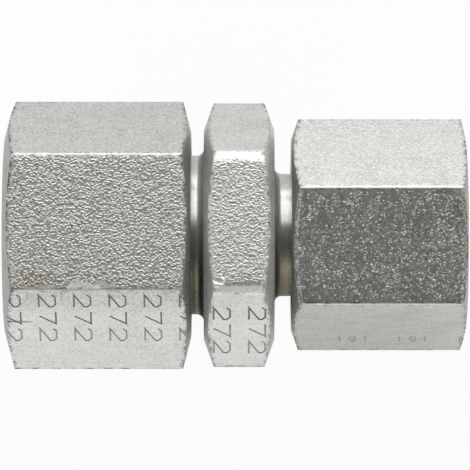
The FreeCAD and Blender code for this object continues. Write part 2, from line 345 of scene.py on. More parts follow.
class Graph:
    """The nodes of one material or world."""

    def __init__(self, tree):
        self.tree = tree
        tree.nodes.clear()

    def node(self, kind, settings=None, inputs=None):
        """Adds a node. Its settings are set first, then the values or links of its sockets."""
        node = self.tree.nodes.new(kind)
        for name, value in (settings or {}).items():
            setattr(node, name, value)
        for name, value in (inputs or {}).items():
            self.feed(node.inputs[name], value)
        return node

    def feed(self, socket, value):
        if isinstance(value, Field):
            value = value.socket
        if isinstance(value, bpy.types.NodeSocket):
            self.tree.links.new(value, socket)
        else:
            socket.default_value = value

    def field(self, kind, settings=None, inputs=None, output=0):
        return Field(self, self.node(kind, settings, inputs).outputs[output])

    def blend(self, factor, first, second):
        """Mixes two colours by a factor."""
        inputs = {"Factor": factor, 6: first, 7: second}
        return self.node("ShaderNodeMix", {"data_type": "RGBA"}, inputs).outputs[2]

    def scaled(self, vector, factors):
        inputs = {0: vector, 1: factors}
        return self.node("ShaderNodeVectorMath", {"operation": "MULTIPLY"}, inputs).outputs[0]

    def noise(self, vector, scale, detail, roughness):
        inputs = {"Vector": vector, "Scale": scale, "Detail": detail, "Roughness": roughness}
        return self.field("ShaderNodeTexNoise", None, inputs)

    def noise_along(self, distance, scale, detail, roughness):
        """Noise that changes with one distance only."""
        inputs = {"W": distance, "Scale": scale, "Detail": detail, "Roughness": roughness}
        return self.field("ShaderNodeTexNoise", {"noise_dimensions": "1D"}, inputs)

    def show(self, lit, seen, how_far, output_kind):
        """Sends a shader to the output, and to the camera a mix of it with a second one."""
        camera_ray = self.field("ShaderNodeLightPath", output="Is Camera Ray")
        inputs = {0: camera_ray * how_far, 1: lit.outputs[0], 2: seen.outputs[0]}
        mixed = self.node("ShaderNodeMixShader", None, inputs)
        self.node(output_kind, None, {"Surface": mixed.outputs[0]})


def new_material(name):
    """A material and the graph of its nodes."""
    material = bpy.data.materials.new(name)
    material.use_nodes = True
    return material, Graph(material.node_tree)


def metal(name, look):
    """Material with a metallic shader; look gives its colour, roughness, height and metallic share."""
    material, graph = new_material(name)
    place = graph.node("ShaderNodeTexCoord").outputs["Object"]
    base, roughness, height, metallic = look(graph, graph.scaled(place, (1 / MM, 1 / MM, 1 / MM)))
    bump = graph.node("ShaderNodeBump", None, {"Strength": 1.0, "Distance": MM, "Height": height})
    shader = graph.node("ShaderNodeBsdfPrincipled", None, {
        "Base Color": base, "Roughness": roughness, "Metallic": metallic, "Normal": bump.outputs[0],
    })
    graph.node("ShaderNodeOutputMaterial", None, {"Surface": shader.outputs[0]})
    return material


def coordinates(graph, place):
    """X, Y and Z of a place as fields."""
    parts = graph.node("ShaderNodeSeparateXYZ", None, {0: place})
    return [Field(graph, socket) for socket in parts.outputs]


def radius_of(y, z):
    return (y * y + z * z).root()


def round_the_bar(y, z, form):
    """Distance on a flat to its nearest long edge in millimetres, and 1 on the two main flats."""
    swing = y.math("ARCTAN2", y, z) - form.turn
    folded = swing.math("WRAP", swing, SIXTH / 2, -SIXTH / 2)
    across = abs(radius_of(y, z) * folded.math("SINE", folded))
    to_edge = form.across_flats / 2 * math.tan(SIXTH / 2) - across - form.edge_inset
    main = abs(swing.math("COSINE", swing)).above(*MAIN_FLATS)
    return to_edge, main


def cone_distance(x, radius, form):
    """Distance along X to the nearer edge where a turned cone meets the flats, in millimetres."""
    gaps = []
    for face_x, way, face_radius, slope in form.cones:
        gaps.append((x - (radius - face_radius) * (way * slope) - face_x) * way)
    return gaps[0].math("MINIMUM", gaps[0], gaps[1])


def mark_on_flat(x, y, z, wobble, wear):
    """1 in the piece's largest mark, fading to 0 round it; it lies on the upper side only."""
    along = (x - wear.mark_x / MM) * (MM / wear.mark_length)
    aside = (y - wear.mark_y / MM) * (MM / wear.mark_breadth)
    reach = radius_of(along, aside) + (wobble - 0.5) * 1.6
    return (1 - reach.above(0.75, 1.05)) * z.above(*UPPER_SIDE)


def scratch_on_flat(x, y, z, wear):
    """1 along the scratch, which runs in from the mouth."""
    end = wear.scratch_end / MM
    beside = abs(y - wear.scratch_y / MM + x * 0.02 + 0.40)
    return (1 - beside.above(0.03, 0.08)) * (1 - x.above(end - 0.8, end)) * z.above(*UPPER_SIDE)


def grained_zinc(name, colours, wear, form):
    """Zinc over the pebbled skin of drawn bar, pressed smooth along the edges."""

    def look(graph, place):
        x, y, z = coordinates(graph, place)

        # Noises, from fine to broad
        stretched = graph.scaled(place, (wear.grain_stretch, 1.0, 1.0))
        pebbles = graph.noise(stretched, wear.grain_scale, 1.0, 0.5)
        cells = {"Vector": stretched, "Scale": wear.grain_scale * 0.72, "Smoothness": 0.6}
        domes = 1 - graph.field("ShaderNodeTexVoronoi", {"feature": "SMOOTH_F1"}, cells)
        pebbles = domes * wear.domes + pebbles * (1 - wear.domes)
        fine = graph.noise(stretched, 14.0, 2.0, 0.6)
        mottle = graph.noise(place, 3.6, 2.0, 0.6)
        patches = graph.noise(place, 0.45, 3.0, 0.55)
        wobble = graph.noise(place, 1.6, 3.0, 0.6)
        bites = graph.noise(place, 0.42, 1.0, 0.5).above(0.56, 0.72)
        streaks = graph.noise(graph.scaled(place, (0.22, 2.6, 2.6)), 1.0, 3.0, 0.6).above(0.46, 0.70)

        # Places: long edges pressed smooth, the corners beyond them, the side flats nearer the
        # camera, the nicks along the turned edges, and the marks
        to_edge, main = round_the_bar(y, z, form)
        to_cone = cone_distance(x, radius_of(y, z), form)
        pressed = 1 - (to_edge + wobble * 0.8 - bites * 0.7).above(0.30, 0.60)
        beyond = 1 - to_edge.above(-0.08, 0.02)
        low = 1 - y.above(*OFF_THE_NEAR_FLATS)
        chips = (wobble * 0.5 + fine * 0.5).above(0.50, 0.57)
        nicks = chips * (1 - to_cone.above(0.10, 0.50)) * wear.nicks
        scratch = scratch_on_flat(x, y, z, wear)
        mark = mark_on_flat(x, y, z, wobble, wear) * main
        torn = mark * wear.furrows

        # Height in millimetres
        calm = main * wear.grain_calm + (1 - wear.grain_calm)
        strength = (1 - pressed * 0.6) * (1 - beyond * 0.9) * calm
        strength = strength * (1 - mark * 0.85) * (patches * 0.8 + 0.6) * (1 - low * 0.35)
        bumps = pebbles.above(wear.grain_low, wear.grain_high)
        hollows = (1 - bumps.above(0.15, 0.6)) * strength
        height = (bumps * (wear.grain_height / MM) + fine * 0.006) * strength - nicks * 0.05
        furrow = x.math("SINE", (x * 0.35 + y) * 9.0) * wear.furrows
        height = height - mark * (wobble * 0.5 + 0.75 + furrow) * (wear.mark_depth / MM)

        # Colour: dulled zinc with painted shade in the hollows, on the flats away from the near side and
        # on the lower corners, the near side flats painted lighter, then stains, dirt with painted shade
        # in the hollows, the torn mark, and dark lines along the edges
        # Painted shade: the rounded corners on the lower half are darkened
        lower_corner_shade = beyond * (1 - y.above(-1.0, 1.0))
        # Painted shade: the hollows of the grain are duller
        dull = patches.above(0.35, 0.75) * (0.25 - low * 0.10) + hollows * 0.3
        # Painted shade: every flat but those nearer the camera is dulled by this share
        dull = dull + (1 - low) * wear.dulling
        dull = dull + (mottle - 0.5) * (1.8 - low * 1.45) + lower_corner_shade * 0.6
        dull = dull + streaks * (low * 0.7 + 0.3) * wear.streaks
        # Painted light: the side flats nearer the camera are painted lighter and cleaner, for the bright
        # bench they reflect
        zinc = graph.blend(low * wear.freshness, colours.zinc, colours.fresh_zinc)
        base = graph.blend(dull, zinc, colours.dull_zinc)
        near_edge = 1 - y.above(-5.6, -3.2)
        stain = graph.noise(place, 0.55, 3.0, 0.6).above(0.50, 0.68) * (near_edge * 0.5 + 0.1)
        reach = radius_of((x - wear.stain_x / MM) * 0.42, (y - wear.stain_y / MM) * 1.1)
        spot = (1 - (reach + (wobble - 0.5) * 1.5).above(0.3, 1.1)) * z.above(*UPPER_SIDE)
        stain = (stain + spot) * (hollows * 0.6 + 0.3) * (1 - low)
        base = graph.blend(stain * wear.stain + low * wear.warmth, base, colours.warm_stain)
        # Dirt and painted shade in the hollows of the grain
        base = graph.blend(hollows * wear.dirt, base, colours.olive_grime)
        base = graph.blend(torn, base, colours.fresh_zinc)
        line = (1 - abs(to_cone).above(0.05, 0.16)) * wobble.above(0.35, 0.6) * 0.45
        line = line + (1 - abs(to_edge).above(0.04, 0.14)) * wobble.above(0.48, 0.62) * (low * 0.4 + 0.5)
        base = graph.blend(line + nicks * 0.9 + scratch * 0.7, base, colours.nick_dirt)

        worn = mark * 0.30 - torn * 0.50
        roughness = hollows * 0.12 + pressed * 0.10 + beyond * 0.12 + worn + wear.grain_roughness
        return base, roughness, height, 1.0

    return metal(name, look)


def turned_zinc(name, colours, wear, form):
    """Zinc over a lathe's fine rings, which run round the axis on cylinders, cones and faces, darkened
    with dirt and painted shade in the gaps beside the body.
    """

    def look(graph, place):
        x, y, z = coordinates(graph, place)
        across = x + radius_of(y, z) * 1.31
        rings = graph.noise_along(across, 9.0, 3.0, 0.7)
        broad_rings = graph.noise_along(across, 2.3, 2.0, 0.6)
        wander = graph.noise(place, 1.1, 2.0, 0.5)
        specks = graph.noise(place, 8.0, 2.0, 0.6)
        height = rings * 0.0035 + wander * 0.004 + specks * 0.003
        dull = wander.above(0.35, 0.75) * 0.3 + rings.above(0.45, 0.8) * 0.3 + wear.turned_dulling
        base = graph.blend(dull, colours.zinc, colours.dull_turned)
        # Dirt and painted shade: in the gaps beside the body the surfaces are darkened towards oily
        # colours, most on the lower side and on the necks
        in_the_gaps = 1 - abs(x - form.shelter_x).above(*OUT_OF_THE_GAPS)
        shaded = 1 - y.above(-5.0, 3.0)
        neck = 1 - radius_of(y, z).above(*OFF_THE_NECK)
        mottled = (broad_rings * 0.5 + specks * 0.5).above(0.3, 0.6)
        grime_and_shade = in_the_gaps * (shaded * (neck * 0.78 + 0.12) + 0.08) * (mottled * 0.3 + 0.7)
        brown = (x - form.shelter_x).above(2.0, 4.0) * shaded
        oil = graph.blend(brown, colours.neck_grime, colours.brown_grime)
        oil = graph.blend(neck, colours.green_film, oil)
        base = graph.blend(grime_and_shade, base, oil)
        roughness = wander * 0.08 + grime_and_shade * 0.15 + colours.turned_roughness
        return base, roughness, height, 1 - in_the_gaps * colours.oil_film

    return metal(name, look)


def stamped_zinc(name, colours):
    """The bottoms of the stamped digits, where dirt has stayed, less of it further down."""

    def look(graph, place):
        specks = graph.noise(place, 7.0, 2.0, 0.6)
        faded = graph.noise(place, 1.3, 2.0, 0.5).above(0.40, 0.65)
        level = coordinates(graph, place)[2]
        clean = specks.above(0.45, 0.75) * (faded * 0.45 + 0.1) + (1 - level.above(4.5, 6.5)) * 0.55
        base = graph.blend(clean, colours.stamp_dirt, colours.dull_zinc)
        return base, specks * 0.2 + 0.35, specks * 0.02, 1.0

    return metal(name, look)


def drawn_wire(name, colours):
    """Drawn spring wire, with faint lines along it."""

    def look(graph, place):
        lines = graph.noise(graph.scaled(place, (14.0, 2.0, 2.0)), 1.0, 2.0, 0.6)
        base = graph.blend(lines.above(0.3, 0.8) * 0.4, colours.wire_steel, colours.stamp_dirt)
        return base, lines * 0.1 + 0.25, lines * 0.004, 1.0

    return metal(name, look)


def hexagon_section(across_flats, flat_half, corner_angles, corner_radii, turn):
    """Angle and radius of each column round a hexagon: six flats with a corner after each."""
    half = across_flats / 2
    along = np.linspace(-flat_half, flat_half, FLAT_STEPS + 1)
    angles = np.concatenate([np.arctan2(along, half), corner_angles])
    radii = np.concatenate([np.hypot(along, half), corner_radii])
    all_angles = np.concatenate([angles + turn + SIXTH * k for k in range(FLATS)])
    return all_angles, np.tile(radii, FLATS)


def rounded_hexagon(across_flats, rounding, turn):
    """Section of drawn bar, its corners rounded."""
    inner = across_flats / 2 - rounding
    side = inner * math.tan(SIXTH / 2)
    swing = np.linspace(0, SIXTH, CORNER_STEPS + 2)[1:-1]
    normal = inner + rounding * np.cos(swing)
    along = side + rounding * np.sin(swing)
    corner = (np.arctan2(along, normal), np.hypot(along, normal))
    return hexagon_section(across_flats, side, *corner, turn)


def turned_hexagon(across_flats, rim_radius):
    """Section of a hexagon whose corners are turned down to a round."""
    half = across_flats / 2
    edge = math.acos(half / rim_radius)
    swing = np.linspace(edge, SIXTH - edge, RIM_STEPS + 2)[1:-1]
    corner = (swing, np.full(RIM_STEPS, rim_radius))
    return hexagon_section(across_flats, rim_radius * math.sin(edge), *corner, 0.0)


# Surfaces of a piece, in the order of its materials
GRAINED, TURNED, STAMPED = range(3)

# Strokes of the digits, in a square one unit wide and high
DIGIT_STROKES = {
    "1": ((0.3, 0.75), (0.55, 1.0), (0.55, 0.0)),
    "2": ((0.0, 0.8), (0.2, 1.0), (0.8, 1.0), (1.0, 0.8), (1.0, 0.62), (0.0, 0.0), (1.0, 0.0)),
    "7": ((0.0, 1.0), (1.0, 1.0), (0.35, 0.0)),
    "9": (
        (0.15, 0.0), (0.7, 0.0), (1.0, 0.3), (1.0, 0.8), (0.8, 1.0), (0.2, 1.0),
        (0.0, 0.8), (0.0, 0.6), (0.2, 0.42), (0.85, 0.42),
    ),
}


def add_object(name, data):
    """Adds an object with a mesh, a light or a camera to the scene."""
    added = bpy.data.objects.new(name, data)
    bpy.context.scene.collection.objects.link(added)
    return added


def arc(centre_x, centre_r, radius, start, finish, steps, way):
    """Turned corners along an arc, in order of x along a way; angles are in degrees from +X."""
    swing = np.radians(np.linspace(start, finish, steps + 1))
    places = [(centre_x + radius * math.cos(a), centre_r + radius * math.sin(a)) for a in swing]
    return [(*place, 0.0, TURNED) for place in sorted(places, key=lambda place: place[0] * way)]


def soft_rings(profile, count):
    """Rings of a profile, its soft corners rounded, and the surface that follows each ring."""
    rows = [(np.broadcast_to(x, count), np.broadcast_to(r, count)) for x, r, _, _ in profile]
    rings = []
    surfaces = []
    for index, (x, r) in enumerate(rows):
        softness, surface = profile[index][2:]
        if not softness:
            rings.append((x, r))
            surfaces.append(surface)
            continue
        arms = []
        for other_x, other_r in (rows[index - 1], rows[(index + 1) % len(rows)]):
            reach = np.hypot(other_x - x, other_r - r)
            arms.append(((other_x - x) / reach * softness, (other_r - r) / reach * softness))
        before_surface = profile[index - 1][3]
        for t in SOFT_PLACES:
            near = (1 - t) ** 2
            far = t ** 2
            new_x = x + near * arms[0][0] + far * arms[1][0]
            new_r = r + near * arms[0][1] + far * arms[1][1]
            rings.append((new_x, new_r))
            surfaces.append(surface if t >= 0.5 else before_surface)
    return rings, surfaces


def lathe(name, angles, profile, materials):
    """Closed mesh from a ring profile of (x, radius, softness, surface that follows) corners."""
    count = len(angles)
    rings, surfaces = soft_rings(profile, count)
    points = [np.stack([x, r * np.sin(angles), r * np.cos(angles)], axis=1) for x, r in rings]
    corners = np.concatenate(points)
    ring = np.arange(count)
    following = (ring + 1) % count
    faces = []
    finishes = []
    for index, surface in enumerate(surfaces):
        low = index * count
        high = (index + 1) % len(rings) * count
        faces.append(np.stack([low + ring, high + ring, high + following, low + following], axis=1))
        finishes.append(np.full(count, surface))
    mesh = bpy.data.meshes.new(name)
    mesh.from_pydata(corners.tolist(), [], np.concatenate(faces).tolist())
    for material in materials:
        mesh.materials.append(material)
    mesh.polygons.foreach_set("material_index", np.concatenate(finishes))
    sheet = bmesh.new()
    sheet.from_mesh(mesh)
    bmesh.ops.recalc_face_normals(sheet, faces=sheet.faces)
    sheet.to_mesh(mesh)
    sheet.free()
    return add_object(name, mesh)


def cone_corner(radii, face_radius, face_x, way, cone_angle):
    """X of the edge where the turned cone meets the flats, for each column round the hexagon."""
    return face_x + way * (radii - face_radius) * math.tan(cone_angle)


def thread_radius(x, angles, start, base, major, crest):
    """Radius of a right-handed inside thread at x, no smaller than the bored form there."""
    phase = (x - start) / PITCH * 2 * math.pi + angles
    depth = (major - crest) / 2
    middle = (major + crest) / 2
    wave = np.arcsin(THREAD_SHARPNESS * np.sin(phase)) / math.asin(THREAD_SHARPNESS)
    return np.maximum(base, middle + depth * wave)


def end_facts(scene, name):
    """The sizes of one end, and its places along X, which come from the frame."""
    side = -1 if name == "large" else 1
    end = getattr(scene, name + "_end")
    low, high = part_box(name + "_swivel_nut")
    thread = MOUNTS[name + "_thread"]
    half_thread = thread["dims"]["length_mm"] * MM / 2
    facts = SimpleNamespace(
        side=side,
        end=end,
        rear=low[0] if side > 0 else high[0],
        mouth=high[0] if side > 0 else low[0],
        thread_r=thread["dims"]["r_mm"] * MM,
        thread_in=thread["pos_m"][0] - side * half_thread,
    )
    nose = (end.spigot - end.nose_tip) / 2 / math.tan(scene.body_sizes.nose_half_angle)
    facts.nose_tip = facts.thread_in - side * scene.fit_sizes.nose_to_thread
    facts.nose_base = facts.nose_tip - side * nose
    facts.wire_x = facts.rear + side * end.wire_setback
    facts.wire_ring = end.spigot / 2 + scene.fit_sizes.swivel / 2
    return facts


def groove_arc(facts, tube, wall, inwards):
    """Half-round groove for the wire, cut into a wall of a given radius, from mouth to rear."""
    dip = math.degrees(math.asin((wall - facts.wire_ring) / tube))
    swing = (180 - dip, 360 + dip) if inwards else (dip, 180 - dip)
    return arc(facts.wire_x, facts.wire_ring, tube, *swing, GROOVE_STEPS, -facts.side)


def nut_profile(facts, fits, angles, radii):
    """Ring profile of a swivel nut: its outside from rear to mouth, then its bore back again."""
    end = facts.end
    side = facts.side
    rear = facts.rear
    mouth = facts.mouth
    mouth_face = end.across_flats / 2 - end.mouth_inset
    rear_bore = end.spigot / 2 + fits.swivel
    rear_face = end.across_flats / 2 - end.rear_inset
    relief = facts.thread_r + fits.thread_relief
    thread_r = facts.thread_r
    rows = [
        (rear, rear_bore + fits.rear_chamfer, fits.soft_rim, TURNED),
        (rear, rear_face, fits.soft_rim, TURNED),
        (cone_corner(radii, rear_face, rear, side, end.rear_cone), radii, fits.soft_edge, GRAINED),
        (cone_corner(radii, mouth_face, mouth, -side, end.mouth_cone), radii, fits.soft_edge, TURNED),
        (mouth, mouth_face, fits.soft_rim, TURNED),
        (mouth, thread_r + fits.mouth_chamfer, 0.0, TURNED),
    ]
    thread_out = mouth - side * fits.mouth_chamfer
    thread_in = facts.thread_in
    relief_edge = thread_in - side * fits.thread_relief
    steps = round(abs(mouth - relief_edge) / PITCH * THREAD_STEPS)
    for x in np.linspace(mouth, relief_edge, steps + 1)[1:]:
        out_of_mouth = max(0.0, (x - thread_out) * side)
        into_relief = max(0.0, (thread_in - x) * side)
        base = thread_r + out_of_mouth + into_relief
        radius = thread_radius(x, side * angles, mouth, base, end.thread_major / 2, end.spigot / 2)
        rows.append((x, radius, 0.0, TURNED))
    shoulder = relief - rear_bore
    rows.append((facts.nose_base, relief, 0.0, TURNED))
    rows.append((facts.nose_base - side * shoulder, rear_bore, 0.0, TURNED))
    rows += groove_arc(facts, end.wire / 2 + fits.groove, rear_bore, False)
    rows.append((rear + side * fits.rear_chamfer, rear_bore, 0.0, TURNED))
    return rows


def body_profile(large, small, sizes, fits, radii):
    """Ring profile of the body: its outside from the large nose to the small, then its bore back."""
    face = sizes.across_flats / 2 - sizes.face_inset
    large_face = large.rear + sizes.large_gap
    small_face = large_face + sizes.hex_width
    rows = []
    for facts, hex_face in ((large, large_face), (small, small_face)):
        end = facts.end
        side = facts.side
        spigot = end.spigot / 2
        fillet = sizes.neck_fillet
        swing = (0, -90) if side < 0 else (180, 270)
        middle = hex_face + side * fillet
        part = [
            (facts.nose_tip, end.bore / 2 + sizes.nose_break, 0.0, TURNED),
            (facts.nose_tip, end.nose_tip / 2, sizes.nose_break / 2, TURNED),
            (facts.nose_base, spigot, sizes.nose_break, TURNED),
        ]
        part += groove_arc(facts, end.wire / 2 + fits.seat, spigot, True)
        part += arc(middle, spigot + fillet, fillet, *swing, FILLET_STEPS, -side)
        part.append((hex_face, face, fits.soft_rim, TURNED))
        edge = cone_corner(radii, face, hex_face, -side, sizes.cone_angle)
        part.append((edge, radii, fits.soft_edge, GRAINED if side < 0 else TURNED))
        rows.append(part)
    centre = large_face + sizes.hex_width / 2
    wide = large.end.bore / 2
    narrow = small.end.bore / 2
    step = (wide - narrow) / math.tan(sizes.bore_step_angle)
    bore = [
        (small.nose_tip - sizes.nose_break, narrow, 0.0, TURNED),
        (centre + step, narrow, 0.0, TURNED),
        (centre, wide, 0.0, TURNED),
        (large.nose_tip + sizes.nose_break, wide, 0.0, TURNED),
    ]
    return rows[0] + rows[1][::-1] + bore


def mesh_of(sheet, name):
    """Mesh with what a bmesh holds. The bmesh is freed."""
    mesh = bpy.data.meshes.new(name)
    sheet.to_mesh(mesh)
    sheet.free()
    return mesh


def stroke_sides(points, breadth):
    """The two sides of a stroke of a given breadth along a line of points, with mitred corners."""
    points = [Vector(point) for point in points]
    ways = [(after - before).normalized() for before, after in zip(points, points[1:])]
    left = []
    right = []
    for index, point in enumerate(points):
        before = ways[max(index - 1, 0)]
        after = ways[min(index, len(ways) - 1)]
        middle = (before + after).normalized()
        aside = Vector((-middle.y, middle.x)) * (breadth / 2 / middle.dot(after))
        left.append(point + aside)
        right.append(point - aside)
    return left, right


def digit_cutter(stamp):
    """Solid digits, centred, that lie in the XY plane and reach their depth above and below it."""
    sheet = bmesh.new()
    for index, digit in enumerate(stamp.text):
        middle = (index - (len(stamp.text) - 1) / 2) * stamp.step
        strokes = DIGIT_STROKES[digit]
        points = [(middle + (x - 0.5) * stamp.breadth, (y - 0.5) * stamp.height) for x, y in strokes]
        left, right = stroke_sides(points, stamp.stroke)
        low = -stamp.depth
        high = stamp.depth
        lines = [
            [sheet.verts.new((place.x, place.y, level)) for place in side]
            for side, level in ((left, low), (right, low), (right, high), (left, high))
        ]
        for line, beside in zip(lines, lines[1:] + lines[:1]):
            for k in range(len(points) - 1):
                sheet.faces.new((line[k], line[k + 1], beside[k + 1], beside[k]))
        for k in (0, -1):
            sheet.faces.new([line[k] for line in lines])
    bmesh.ops.recalc_face_normals(sheet, faces=sheet.faces)
    return mesh_of(sheet, "digits")


def on_flat(across_flats, turn, x, aside, stamp_turn):
    """Matrix that puts a drawing on the flat below the top one; unturned, its X runs down it."""
    swing = turn - SIXTH
    outwards = Vector((0, math.sin(swing), math.cos(swing)))
    down = Vector((0, -math.cos(swing), math.sin(swing)))
    forwards = outwards.cross(down)
    place = outwards * across_flats / 2 + Vector((x, 0, 0)) + down * aside
    frame_axes = Matrix((down, forwards, outwards)).transposed().to_4x4()
    return Matrix.Translation(place) @ frame_axes @ Matrix.Rotation(stamp_turn, 4, "Z")


def join_meshes(placed):
    """One mesh from (mesh, matrix) pairs."""
    sheet = bmesh.new()
    for mesh, matrix in placed:
        copy = mesh.copy()
        copy.transform(matrix)
        sheet.from_mesh(copy)
        bpy.data.meshes.remove(copy)
    bmesh.ops.recalc_face_normals(sheet, faces=sheet.faces)
    return mesh_of(sheet, "joined")


def round_cutter(radius, depth):
    """Cylinder along +Z from the origin."""
    sheet = bmesh.new()
    bmesh.ops.create_cone(
        sheet, cap_ends=True, segments=HOLE_SIDES, radius1=radius, radius2=radius, depth=depth,
        matrix=Matrix.Translation((0, 0, depth / 2)),
    )
    return mesh_of(sheet, "round_cutter")


def carve(piece, placed, finish):
    """Cuts (mesh, matrix) pairs out of a piece; new faces take the material with that index."""
    cutter_mesh = join_meshes(placed)
    for material in piece.data.materials:
        cutter_mesh.materials.append(material)
    cutter_mesh.polygons.foreach_set("material_index", [finish] * len(cutter_mesh.polygons))
    cutter = add_object("cutter", cutter_mesh)
    cut = piece.modifiers.new("cut", "BOOLEAN")
    cut.operation = "DIFFERENCE"
    cut.solver = "MANIFOLD"
    cut.object = cutter
    settle(piece)
    bpy.data.objects.remove(cutter)


def settle(piece):
    """Makes the result of a piece's modifiers its own mesh."""
    shown = piece.evaluated_get(bpy.context.evaluated_depsgraph_get())
    mesh = bpy.data.meshes.new_from_object(shown)
    piece.modifiers.clear()
    old = piece.data
    piece.data = mesh
    bpy.data.meshes.remove(old)


def smooth(piece):
    """Smooth shading with sharp creases, and flats that stay flat."""
    mesh = piece.data
    mesh.polygons.foreach_set("use_smooth", [True] * len(mesh.polygons))
    mesh.set_sharp_from_angle(angle=CREASE)
    even = piece.modifiers.new("even", "WEIGHTED_NORMAL")
    even.keep_sharp = True
    even.weight = FACE_WEIGHT
    settle(piece)


def zinc_finishes(prefix, colours, wear, form):
    """The finishes of a piece, in the order of GRAINED, TURNED and STAMPED."""
    return [
        grained_zinc(prefix + "_grained", colours, wear, form),
        turned_zinc(prefix + "_turned", colours, wear, form),
        stamped_zinc(prefix + "_stamped", colours),
    ]


def hexagon_centre(scene):
    """X of the middle of the body's hexagon."""
    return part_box("large_swivel_nut")[1][0] + scene.body_sizes.large_gap + scene.body_sizes.hex_width / 2


def stamp_digits(piece, stamp, across_flats, turn):
    """Stamps columns of digits into the flat below the top one."""
    digits = digit_cutter(stamp)
    columns = [stamp.start + stamp.pitch * k for k in range(stamp.count)]
    placed = [(digits, on_flat(across_flats, turn, x, stamp.aside, stamp.turn)) for x in columns]
    carve(piece, placed, STAMPED)


def round_axis(radius, swing, x=0.0):
    """Point at an angle round the axis, counted from +Z towards +Y."""
    return Vector((x, radius * math.sin(swing), radius * math.cos(swing)))


def pointing(place, way):
    """Matrix that puts the origin at a place with +Z along a way."""
    return Matrix.Translation(place) @ way.to_track_quat("Z", "Y").to_matrix().to_4x4()


def tangent_hole(facts, fits):
    """Hole in a lower flat that the wire was pushed in through."""
    end = facts.end
    touch = SIXTH - end.turn
    start = round_axis(facts.wire_ring, touch, facts.wire_x)
    way = round_axis(1, touch + math.pi / 2)
    return round_cutter(end.wire / 2 + fits.wire_hole, end.across_flats), pointing(start, way)


def tail_hole(facts, sizes, fits):
    """Blind hole in the spigot that holds the tail of the wire."""
    end = facts.end
    swing = sizes.wire_start + sizes.wire_arc
    inwards = round_axis(-1, swing)
    bend = end.wire / 2 + 2 * fits.seat
    beside = swing + math.pi / 2
    tail = round_axis(facts.wire_ring, swing, facts.wire_x) + inwards * bend + round_axis(bend, beside)
    bottom = tail + inwards * (sizes.wire_tail + fits.seat)
    return round_cutter(end.wire / 2 + fits.seat, end.spigot / 2), pointing(bottom, -inwards)


class CONNECTOR_OT_body(bpy.types.Operator):
    """Build the hexagon body with its two spigots and nose cones"""

    bl_idname = "connector.body"
    bl_label = "Body"

    def execute(self, context):
        scene = context.scene
        sizes = scene.body_sizes
        fits = scene.fit_sizes
        large = end_facts(scene, "large")
        small = end_facts(scene, "small")
        half = sizes.across_flats / 2
        rim = half / math.cos(SIXTH / 2) - sizes.corner_cut
        angles, radii = turned_hexagon(sizes.across_flats, rim)
        profile = body_profile(large, small, sizes, fits, radii)
        centre = hexagon_centre(scene) / MM
        face = (half - sizes.face_inset) / MM
        slope = math.tan(sizes.cone_angle)
        half_width = sizes.hex_width / 2 / MM
        cones = [(centre - half_width, 1, face, slope), (centre + half_width, -1, face, slope)]
        edge_inset = (half * math.tan(SIXTH / 2) - math.sqrt(rim ** 2 - half ** 2)) / MM
        form = Form(sizes.across_flats / MM, 0.0, edge_inset, centre, cones)
        finishes = zinc_finishes("body", scene.finish_colours, scene.body_wear, form)
        piece = lathe("hexagon_body", angles, profile, finishes)
        stamp_digits(piece, scene.body_stamp, sizes.across_flats, 0.0)
        carve(piece, [tail_hole(facts, sizes, fits) for facts in (large, small)], TURNED)
        smooth(piece)
        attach(piece, BODY_RIDES_ON)
        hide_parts(BODY_NODE)
        return {"FINISHED"}


class CONNECTOR_OT_nut(bpy.types.Operator):
    """Build one swivel nut with its inside thread"""

    bl_idname = "connector.nut"
    bl_label = "Swivel nut"

    end_name: StringProperty(name="End", description="Which end the nut is for", default="large")

    def execute(self, context):
        scene = context.scene
        fits = scene.fit_sizes
        facts = end_facts(scene, self.end_name)
        end = facts.end
        angles, radii = rounded_hexagon(end.across_flats, end.corner_rounding, -end.turn)
        profile = nut_profile(facts, fits, angles, radii)
        half = end.across_flats / 2
        cones = [
            (facts.rear / MM, facts.side, (half - end.rear_inset) / MM, math.tan(end.rear_cone)),
            (facts.mouth / MM, -facts.side, (half - end.mouth_inset) / MM, math.tan(end.mouth_cone)),
        ]
        edge_inset = end.corner_rounding * math.tan(SIXTH / 2) / MM
        form = Form(end.across_flats / MM, -end.turn, edge_inset, hexagon_centre(scene) / MM, cones)
        wear = getattr(scene, self.end_name + "_wear")
        finishes = zinc_finishes(self.end_name + "_nut", scene.finish_colours, wear, form)
        piece = lathe(self.end_name + "_union_nut", angles, profile, finishes)
        stamp_digits(piece, getattr(scene, self.end_name + "_stamp"), end.across_flats, -end.turn)
        carve(piece, [tangent_hole(facts, fits)], TURNED)
        smooth(piece)
        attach(piece, self.end_name + "_nut")
        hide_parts(self.end_name + "_swivel_nut")
        self.end_name + "_nut_zinc"
        return {"FINISHED"}


class CONNECTOR_OT_wires(bpy.types.Operator):
    """Give the two retaining wires their steel"""

    bl_idname = "connector.wires"
    bl_label = "Retaining wires"

    def execute(self, context):
        steel = drawn_wire("spring_wire_steel", context.scene.finish_colours)
        for name in ("large_retaining_wire", "small_retaining_wire"):
            for slot in frame["nodes"][name].material_slots:
                slot.material = steel
        return {"FINISHED"}


class CONNECTOR_OT_studio(bpy.types.Operator):
    """Set up the white bench, the light and the camera"""

    bl_idname = "connector.studio"
    bl_label = "Studio"

    def execute(self, context):
        studio = context.scene.studio_sizes
        white_bench(studio)
        room(context.scene)
        softbox(studio)
        context.scene.camera = camera(studio)
        context.scene.view_settings.view_transform = "Standard"
        return {"FINISHED"}


